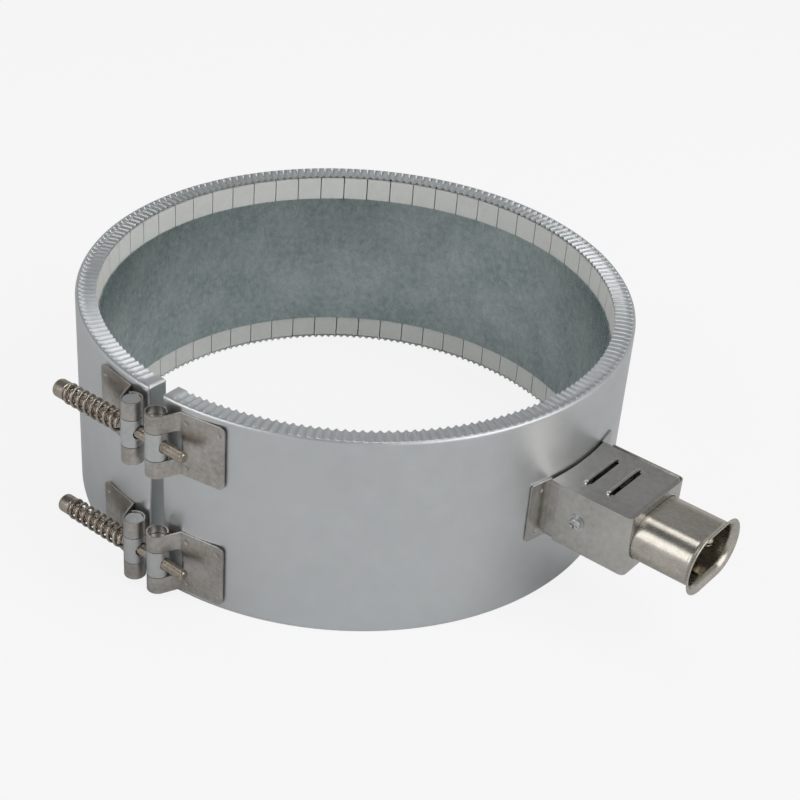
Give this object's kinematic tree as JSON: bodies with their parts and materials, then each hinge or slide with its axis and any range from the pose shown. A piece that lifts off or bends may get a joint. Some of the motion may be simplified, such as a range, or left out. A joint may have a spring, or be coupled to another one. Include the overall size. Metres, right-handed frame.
{
  "type": "ceramic band heater",
  "caption": "Split ceramic band heater with pleated rims, two spring-loaded clamp screws across the gap and a plug inlet on a vented terminal box.",
  "frame": {"origin": "on the bore's axis, in the middle of the band's width", "axes": "+Z along the bore's axis, +X out through the terminal box and plug, -Y out through the gap between the band's ends"},
  "size_m": [0.3324, 0.2724, 0.1],
  "materials": {
    "sheath_steel": "satin rolled stainless",
    "liner_steel": "satin",
    "steatite": "matt fired",
    "resistance_wire": "oxidised",
    "fibre": "matt",
    "strip_steel": "satin",
    "box_steel": "satin rolled stainless",
    "shell_metal": "satin drawn",
    "plug_ceramic": "matt fired",
    "pin_metal": "bright nickel",
    "lug_steel": "satin rolled stainless",
    "barrel_steel": "turned",
    "screw_steel": "zinc plated",
    "spring_steel": "drawn wire"
  },
  "bodies": {
    "band": {"outer_sheath": "sheath_steel", "ceramic_tiles": "steatite", "heating_coil": "resistance_wire", "insulation_blanket": "fibre", "inner_liner": "liner_steel", "short_bus_strip": "strip_steel", "long_bus_strip": "strip_steel", "upper_right_lug": "lug_steel", "upper_left_lug": "lug_steel", "upper_right_barrel": "barrel_steel", "upper_left_barrel": "barrel_steel", "lower_right_lug": "lug_steel", "lower_left_lug": "lug_steel", "lower_right_barrel": "barrel_steel", "lower_left_barrel": "barrel_steel", "far_terminal_bracket": "box_steel", "near_terminal_bracket": "box_steel", "far_cover_screw": "screw_steel", "near_cover_screw": "screw_steel", "far_cover_washer": "screw_steel", "near_cover_washer": "screw_steel", "far_contact_pin": "pin_metal", "near_contact_pin": "pin_metal", "far_terminal_nut": "pin_metal", "near_terminal_nut": "pin_metal", "far_feed_strip": "strip_steel", "near_feed_strip": "strip_steel", "terminal_cover": "box_steel", "terminal_channel": "box_steel", "plug_shell": "shell_metal", "plug_insulator": "plug_ceramic", "earth_contact": "pin_metal", "lead_bushing": "plug_ceramic"},
    "upper_spring": {"upper_clamp_spring": "spring_steel"},
    "upper_screw": {"upper_clamp_screw": "screw_steel"},
    "lower_spring": {"lower_clamp_spring": "spring_steel"},
    "lower_screw": {"lower_clamp_screw": "screw_steel"}
  },
  "joints": [
    {"name": "upper_screw_travel", "type": "slide", "parent": "band", "child": "upper_spring", "axis": [1, 0, 0], "range_m": [-0.003, 0.009], "deforming": ["upper_clamp_spring"]},
    {"name": "upper_screw_turn", "type": "hinge", "parent": "upper_spring", "child": "upper_screw", "pos_m": [0, -0.137, 0.031], "axis": [1, 0, 0], "range_deg": [-1360, 4060]},
    {"name": "lower_screw_travel", "type": "slide", "parent": "band", "child": "lower_spring", "axis": [1, 0, 0], "range_m": [-0.003, 0.009], "deforming": ["lower_clamp_spring"]},
    {"name": "lower_screw_turn", "type": "hinge", "parent": "lower_spring", "child": "lower_screw", "pos_m": [0, -0.137, -0.031], "axis": [1, 0, 0], "range_deg": [-1360, 4060]}
  ],
  "couplings": [
    {"joint": "upper_screw_turn", "follows": "upper_screw_travel", "rad_per_m": 7854},
    {"joint": "lower_screw_turn", "follows": "lower_screw_travel", "rad_per_m": 7854}
  ]
}
